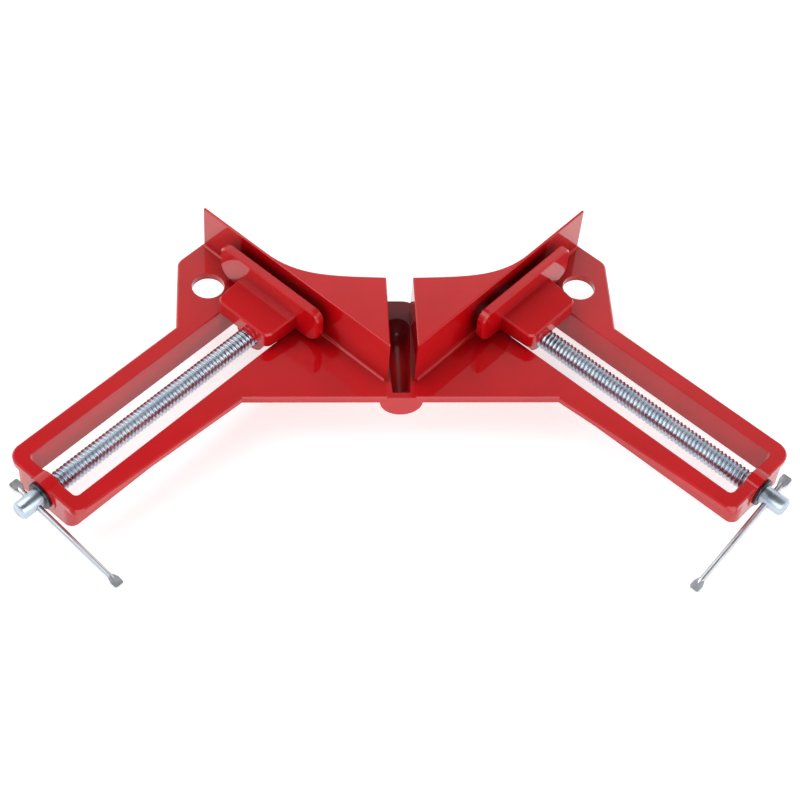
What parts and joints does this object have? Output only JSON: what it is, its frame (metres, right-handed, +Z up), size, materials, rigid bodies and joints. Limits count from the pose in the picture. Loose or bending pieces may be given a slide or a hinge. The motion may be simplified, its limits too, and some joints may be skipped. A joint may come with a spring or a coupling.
{
  "type": "corner clamp",
  "caption": "Corner clamp: a cast V-shaped frame with right-angle fences and an arm each side, whose jaw is driven by a captive screw with a sliding tommy bar.",
  "frame": {"origin": "midway between the two bench holes, on the top face of the base plate", "axes": "+Z up out of the base plate, +X to the right along the line of the bench holes, +Y to the back; X = 0 is the plane of symmetry and the jaws open to the front"},
  "size_m": [0.2814, 0.1527, 0.0406],
  "materials": {
    "red_enamel": "thick gloss enamel",
    "zinc_plate": "bright zinc plate",
    "spring_steel": "dark spring steel",
    "bright_bar": "bright drawn steel"
  },
  "bodies": {
    "frame": {"frame": "red_enamel"},
    "right_jaw": {"right_jaw": "red_enamel"},
    "right_screw": {"right_screw": "zinc_plate", "right_outer_ring": "spring_steel", "right_inner_ring": "spring_steel"},
    "right_tommy_bar": {"right_tommy_bar": "bright_bar"},
    "left_jaw": {"left_jaw": "red_enamel"},
    "left_screw": {"left_screw": "zinc_plate", "left_outer_ring": "spring_steel", "left_inner_ring": "spring_steel"},
    "left_tommy_bar": {"left_tommy_bar": "bright_bar"}
  },
  "joints": [
    {"name": "right_screw_spin", "type": "hinge", "parent": "frame", "child": "right_screw", "pos_m": [0.11554, -0.07956, -0.0057], "axis": [0.7071, -0.7071, 0], "range_deg": [-20816.47, 677.65]},
    {"name": "right_jaw_slide", "type": "slide", "parent": "frame", "child": "right_jaw", "axis": [0.7071, -0.7071, 0], "range_m": [-0.0032, 0.0983]},
    {"name": "right_bar_slide", "type": "slide", "parent": "right_screw", "child": "right_tommy_bar", "axis": [-0.6725, -0.6725, -0.309], "range_m": [-0.0362, 0.0017]},
    {"name": "left_screw_spin", "type": "hinge", "parent": "frame", "child": "left_screw", "pos_m": [-0.11554, -0.07956, -0.0057], "axis": [-0.7071, -0.7071, 0], "range_deg": [-20816.47, 677.65]},
    {"name": "left_jaw_slide", "type": "slide", "parent": "frame", "child": "left_jaw", "axis": [-0.7071, -0.7071, 0], "range_m": [-0.0032, 0.0983]},
    {"name": "left_bar_slide", "type": "slide", "parent": "left_screw", "child": "left_tommy_bar", "axis": [0.7002, -0.7002, -0.1392], "range_m": [-0.0362, 0.0017]}
  ],
  "couplings": [
    {"joint": "right_screw_spin", "follows": "right_jaw_slide", "rad_per_m": -3696},
    {"joint": "left_screw_spin", "follows": "left_jaw_slide", "rad_per_m": -3696}
  ]
}
